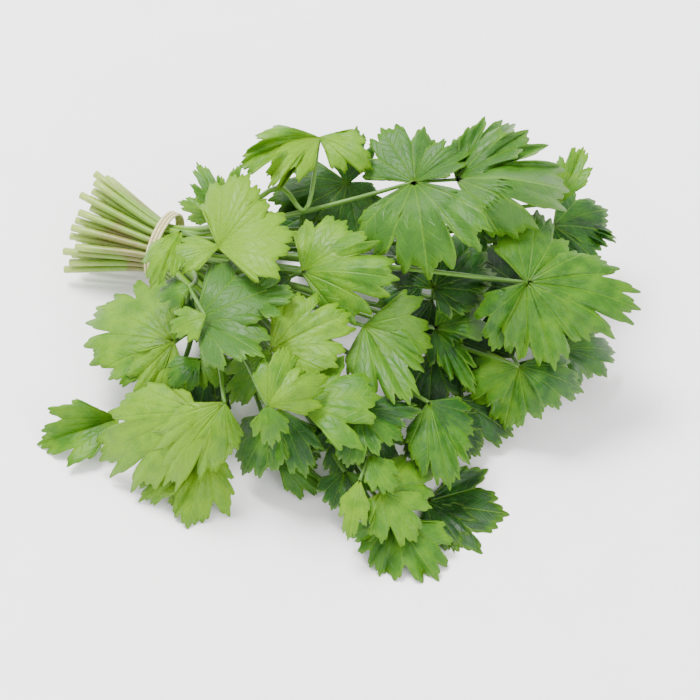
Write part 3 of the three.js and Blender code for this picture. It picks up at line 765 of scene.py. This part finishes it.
def grow(s, index, blade_finish, stem_finish):
    name = s["name"]
    layers = sight(name)
    knots, stops = stem_line(s, index)
    lifts = [0.0] * len(stops)
    for k in range(4, len(stops)):
        lifts[k] = lift_at(layers, [on_curve(knots, stops[k])], lifts[k - 1])
    radii = [CUT_RADIUS, CUT_RADIUS] + [TIE_RADIUS] * 3
    thinner = (HUB_RADIUS - TIE_RADIUS) / RINGS_TO_HUB
    radii += [TIE_RADIUS + thinner * k for k in range(1, RINGS_TO_HUB + 1)]
    fine = [
        stops[k] + (stops[k + 1] - stops[k]) * j / RINGS_A_STEP
        for k in range(len(stops) - 1)
        for j in range(RINGS_A_STEP)
    ] + [1]
    points = [on_curve(knots, t) + VIEWER * between(lifts, stops, t) for t in fine]
    tone = LEAF_TONES_AND_SHADE.get(name, HIDDEN_TONE)
    grey = GREYS.get(name, 0)
    bm = bmesh.new()
    roll_stem(bm, points, [between(radii, stops, t) for t in fine], fine, tone)
    lift_hub = lifts[-1]
    hub = s["hub"] + VIEWER * lift_hub
    stalk_lifts = {}
    for blade in s["leaves"]:
        start = blade["start"]
        if start is None or start.to_tuple(4) in stalk_lifts:
            continue
        lift = lift_at(layers, [start], lift_hub)
        stalk_lifts[start.to_tuple(4)] = lift
        steps = [hub.lerp(start + VIEWER * lift, j / STALK_STEPS) for j in range(STALK_STEPS + 1)]
        roll_stem(bm, steps, [STALK_RADIUS] * len(steps), [1] * len(steps), tone)
    for k, blade in enumerate(s["leaves"]):
        start = blade["start"] or s["hub"]
        lift_foot = stalk_lifts.get(start.to_tuple(4), lift_hub)
        base = start + (start - blade["tip"]).normalized() * BASE_SINK
        bend_leaflet(bm, blade, base, 10 * index + k, layers, lift_foot, tone, grey)
    grow_inner(bm, name, index, hub)
    piece = to_piece(bm, "leafy_" + name)
    piece.data.materials.append(blade_finish)
    piece.data.materials.append(stem_finish)
    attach(piece, "root")
    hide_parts(name)
    return piece


# %% [markdown]
# Fresh leaves are many greens at once: a base tone, pale veins that spread from the foot like
# fingers, fine side veins, a lighter rim and soft blotches. The veins are drawn in the leaflet's own
# coordinates, which every corner carries, so they bend and fold with the blade.

# %% Helpers for a finish
def finish_named(name):
    made = bpy.data.materials.new(name)
    made.use_nodes = True
    return made, made.node_tree, made.node_tree.nodes["Principled BSDF"]


def wire(tree, socket, value):
    if isinstance(value, (int, float, tuple)):
        socket.default_value = value
    else:
        tree.links.new(value, socket)


def reading(tree, name):
    node = tree.nodes.new("ShaderNodeAttribute")
    node.attribute_name = name
    return node.outputs["Fac"]


def maths(tree, operation, *values):
    node = tree.nodes.new("ShaderNodeMath")
    node.operation = operation
    for k, value in enumerate(values):
        wire(tree, node.inputs[k], value)
    return node.outputs[0]


def smooth(tree, value, low, high, to_low=0.0, to_high=1.0):
    node = tree.nodes.new("ShaderNodeMapRange")
    node.interpolation_type = "SMOOTHSTEP"
    sockets = ("Value", "From Min", "From Max", "To Min", "To Max")
    for socket, given in zip(sockets, (value, low, high, to_low, to_high)):
        wire(tree, node.inputs[socket], given)
    return node.outputs["Result"]


def mixed(tree, share, one, two, blend="MIX"):
    node = tree.nodes.new("ShaderNodeMix")
    node.data_type = "RGBA"
    node.blend_type = blend
    wire(tree, node.inputs["Factor"], share)
    wire(tree, node.inputs[6], one)
    wire(tree, node.inputs[7], two)
    return node.outputs[2]


def ramp(tree, value, stops):
    node = tree.nodes.new("ShaderNodeValToRGB")
    line = node.color_ramp.elements
    while len(line) < len(stops):
        line.new(0.5)
    for element, (place, color) in zip(line, stops):
        element.position = place
        element.color = (*color, 1)
    wire(tree, node.inputs["Fac"], value)
    return node.outputs["Color"]


def noise(tree, scale, detail=3):
    node = tree.nodes.new("ShaderNodeTexNoise")
    node.inputs["Scale"].default_value = scale
    node.inputs["Detail"].default_value = detail
    place = tree.nodes.new("ShaderNodeTexCoord")
    tree.links.new(place.outputs["Object"], node.inputs["Vector"])
    return node.outputs["Fac"]


def bump(tree, shader, height, strength, distance):
    node = tree.nodes.new("ShaderNodeBump")
    node.inputs["Strength"].default_value = strength
    node.inputs["Distance"].default_value = distance
    tree.links.new(height, node.inputs["Height"])
    tree.links.new(node.outputs["Normal"], shader.inputs["Normal"])


# %% The finish of the blades
LEAF_GREENS = [
    (0.0, (0.003, 0.032, 0.001)),
    (0.3, (0.010, 0.072, 0.001)),
    (0.6, (0.044, 0.150, 0.001)),
    (1.0, (0.125, 0.265, 0.001)),
]
GREY_GREEN = (0.040, 0.125, 0.010, 1)
VEIN_GREEN = (0.150, 0.300, 0.006, 1)
RIM_GREEN = (0.110, 0.250, 0.003, 1)
SIDE_VEINS = 9
VEIN_SLANT = 1.1
TONE_SPREAD = 0.3


def blade_finish():
    made, tree, shader = finish_named("coriander_leaf")
    x, y = reading(tree, "leaf_x"), reading(tree, "leaf_y")
    turn = maths(tree, "ARCTAN2", y, x)
    squares = maths(tree, "MULTIPLY", x, x), maths(tree, "MULTIPLY", y, y)
    out = maths(tree, "SQRT", maths(tree, "ADD", *squares))
    off = maths(tree, "WRAP", turn, VEIN_TURN / 2, -VEIN_TURN / 2)
    apart = maths(tree, "MULTIPLY", maths(tree, "ABSOLUTE", off), out)
    main_vein = smooth(tree, apart, 0.003, 0.016, 1.0, 0.0)
    back = maths(tree, "MULTIPLY", apart, VEIN_SLANT)
    slant = maths(tree, "MULTIPLY", maths(tree, "SUBTRACT", out, back), SIDE_VEINS)
    wave = maths(tree, "ABSOLUTE", maths(tree, "SUBTRACT", maths(tree, "FRACT", slant), 0.5))
    side_vein = smooth(tree, wave, 0.0, 0.11, 1.0, 0.0)
    blotch = noise(tree, 130)
    fine = noise(tree, 1400, 2)
    tone = maths(tree, "ADD", reading(tree, "tone"), smooth(tree, blotch, 0.3, 0.7, -0.14, 0.14))
    own = maths(tree, "SUBTRACT", reading(tree, "shade"), 0.5)
    tone = maths(tree, "ADD", tone, maths(tree, "MULTIPLY", own, TONE_SPREAD))
    color = ramp(tree, tone, LEAF_GREENS)
    color = mixed(tree, reading(tree, "grey"), color, GREY_GREEN)
    color = mixed(tree, maths(tree, "MULTIPLY", side_vein, 0.1), color, VEIN_GREEN)
    color = mixed(tree, maths(tree, "MULTIPLY", main_vein, 0.3), color, VEIN_GREEN)
    rim = smooth(tree, reading(tree, "along"), 0.86, 1.0, 0.0, 0.4)
    color = mixed(tree, rim, color, RIM_GREEN)
    grain = ramp(tree, fine, [(0.3, (0.82, 0.82, 0.82)), (0.7, (1, 1, 1))])
    color = mixed(tree, 1.0, color, grain, "MULTIPLY")
    tree.links.new(color, shader.inputs["Base Color"])
    gloss = smooth(tree, blotch, 0.2, 0.8, 0.38, 0.56)
    tree.links.new(gloss, shader.inputs["Roughness"])
    shader.inputs["Specular IOR Level"].default_value = 0.28
    shader.inputs["Subsurface Weight"].default_value = 0.25
    shader.inputs["Subsurface Radius"].default_value = (0.5, 1.0, 0.15)
    shader.inputs["Subsurface Scale"].default_value = 0.0015
    relief = maths(tree, "SUBTRACT", maths(tree, "MULTIPLY", fine, 0.35), maths(tree, "MULTIPLY", main_vein, 0.9))
    relief = maths(tree, "SUBTRACT", relief, maths(tree, "MULTIPLY", side_vein, 0.5))
    bump(tree, shader, relief, 0.5, 0.0006)
    return made


# %% [markdown]
# A coriander stem is pale and juicy where it was cut, blushes a little below the tie and turns green
# towards the leaves. Fine ribs run along it. The colour follows how far along a corner is, which
# again each corner carries, so the blush sits at the same place on every stem.

# %% The finish of the stems
STEM_GREENS = [
    (0.0, (0.36, 0.46, 0.10)),
    (0.08, (0.17, 0.31, 0.02)),
    (0.22, (0.16, 0.29, 0.02)),
    (0.45, (0.12, 0.26, 0.01)),
    (0.8, (0.08, 0.20, 0.01)),
    (1.0, (0.07, 0.18, 0.01)),
]
BLUSH = (0.22, 0.12, 0.06, 1)


def stem_finish():
    made, tree, shader = finish_named("coriander_stem")
    along = reading(tree, "along")
    color = ramp(tree, along, STEM_GREENS)
    blotch = noise(tree, 60)
    before, after = smooth(tree, along, 0.02, 0.10), smooth(tree, along, 0.16, 0.3, 1.0, 0.0)
    near_tie = maths(tree, "MULTIPLY", before, after)
    blushing = maths(tree, "MULTIPLY", near_tie, smooth(tree, blotch, 0.46, 0.66, 0.0, 0.6))
    color = mixed(tree, blushing, color, BLUSH)
    streaks = noise(tree, 900, 2)
    grain = ramp(tree, streaks, [(0.3, (0.84, 0.86, 0.8)), (0.7, (1, 1, 1))])
    color = mixed(tree, 1.0, color, grain, "MULTIPLY")
    tree.links.new(color, shader.inputs["Base Color"])
    tree.links.new(smooth(tree, streaks, 0.2, 0.8, 0.32, 0.5), shader.inputs["Roughness"])
    shader.inputs["Subsurface Weight"].default_value = 0.3
    shader.inputs["Subsurface Radius"].default_value = (0.8, 1.0, 0.4)
    shader.inputs["Subsurface Scale"].default_value = 0.0015
    bump(tree, shader, streaks, 0.25, 0.0003)
    return made


leaf_skin = blade_finish()
stem_skin = stem_finish()
for index, s in enumerate(STEMS):
    grow(s, index, leaf_skin, stem_skin)
grown = [o for o in bpy.data.objects if o.name.startswith("leafy_")]
faces = sum(len(p.vertices) - 2 for o in grown for p in o.data.polygons)
print("leafy stems made:", len(grown), "triangles:", faces)

# %% [markdown]
# The tie is three turns of a straw-coloured twine. A ring whose section turns as it goes round
# shows the strands laid together, and the same bent grid makes it: one way round the bundle, the
# other way round the twine.

# %% Wind the tie
TIE_STRANDS = 3
STRAND = 1.5
TIE_GAP = 0.35
TURN_STEPS = 160
TWINE_SIDES = 14
TWIST = 34
PLIES = 3
PLY_DEPTH = 0.12
STRAW = [(0.3, (0.42, 0.36, 0.16)), (0.55, (0.66, 0.60, 0.32)), (0.75, (0.80, 0.76, 0.48))]


def wind(bm, off, inside):
    def place(u, v):
        angle = 2 * math.pi * u / TURN_STEPS
        section = 2 * math.pi * v / TWINE_SIDES
        bulge = 1 - PLY_DEPTH * abs(math.sin((PLIES * section + TWIST * angle) / 2))
        radius = STRAND / 2 * bulge
        out = SIDE * math.cos(angle) + RISE * math.sin(angle)
        middle = TIE + ALONG * off + out * (inside + STRAND / 2)
        return middle + out * radius * math.cos(section) + ALONG * radius * math.sin(section)

    corners = bent_grid(bm, TURN_STEPS, TWINE_SIDES, place)
    bmesh.ops.remove_doubles(bm, verts=list(corners.values()), dist=1e-4)


def twine_finish():
    made, tree, shader = finish_named("straw_twine")
    fibre = noise(tree, 2600, 4)
    color = ramp(tree, fibre, STRAW)
    tree.links.new(color, shader.inputs["Base Color"])
    tree.links.new(smooth(tree, fibre, 0.2, 0.8, 0.62, 0.85), shader.inputs["Roughness"])
    bump(tree, shader, fibre, 0.6, 0.0004)
    return made


reach = max(math.hypot(*slot) for slot in slots())
bm = bmesh.new()
for k in range(TIE_STRANDS):
    wind(bm, (k - (TIE_STRANDS - 1) / 2) * STRAND, reach + TIE_RADIUS + TIE_GAP)
bmesh.ops.recalc_face_normals(bm, faces=bm.faces[:])
tie = to_piece(bm, "twine_tie")
tie.data.materials.append(twine_finish())
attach(tie, "root")
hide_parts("tie")
print("tie:", TIE_STRANDS, "turns of twine", STRAND, "mm thick")

# %% [markdown]
# The bunch lies on a plain pale table under soft studio light. A wide light from above and behind
# draws the shapes of the leaves, a weaker one from the front opens the shadows, and a pale sky fills
# the rest. The floor reaches far enough that no edge of it shows from any side.

# %% Table, light and camera
FLOOR_REACH = 6
floor_mesh = bmesh.new()
bmesh.ops.create_grid(floor_mesh, x_segments=4, y_segments=4, size=FLOOR_REACH)
floor_data = bpy.data.meshes.new("pale_table")
floor_mesh.to_mesh(floor_data)
floor_mesh.free()
floor = bpy.data.objects.new("pale_table", floor_data)
bpy.context.scene.collection.objects.link(floor)
paint, tree, shader = finish_named("pale_table")
PAPER = [(0.3, (0.95, 0.95, 0.945)), (0.7, (0.98, 0.98, 0.975))]
tree.links.new(ramp(tree, noise(tree, 40), PAPER), shader.inputs["Base Color"])
shader.inputs["Roughness"].default_value = 0.6
floor_data.materials.append(paint)


def soft_light(name, place, size, power):
    data = bpy.data.lights.new(name, "AREA")
    data.shape = "DISK"
    data.size = size
    data.energy = power
    lamp = bpy.data.objects.new(name, data)
    lamp.location = place
    lamp.rotation_euler = (-Vector(place)).to_track_quat("-Z", "Y").to_euler()
    bpy.context.scene.collection.objects.link(lamp)


soft_light("light_above", (-0.5, 0.5, 1.6), 0.8, 62)
soft_light("light_front", (0.9, -1.3, 1.1), 1.2, 22)
sky = bpy.data.worlds.new("pale_sky")
sky.use_nodes = True
sky.node_tree.nodes["Background"].inputs["Color"].default_value = (1, 1, 1, 1)
sky.node_tree.nodes["Background"].inputs["Strength"].default_value = 1.7
bpy.context.scene.world = sky

CAMERA_FAR = 2.3
FRAME_WIDTH = 0.294
SENSOR = 36
FRAME_CENTRE = Vector((5.04, 21, 35))
camera_data = bpy.data.cameras.new("front_camera")
camera_data.sensor_width = SENSOR
camera_data.lens = SENSOR * CAMERA_FAR / FRAME_WIDTH
camera = bpy.data.objects.new("front_camera", camera_data)
toward = UPRIGHT @ VIEWER
camera.location = to_world(FRAME_CENTRE) + toward * CAMERA_FAR
camera.rotation_euler = (-toward).to_track_quat("-Z", "Y").to_euler()
bpy.context.scene.collection.objects.link(camera)
bpy.context.scene.camera = camera
print("camera", [round(c, 3) for c in camera.location], "lens", round(camera_data.lens))
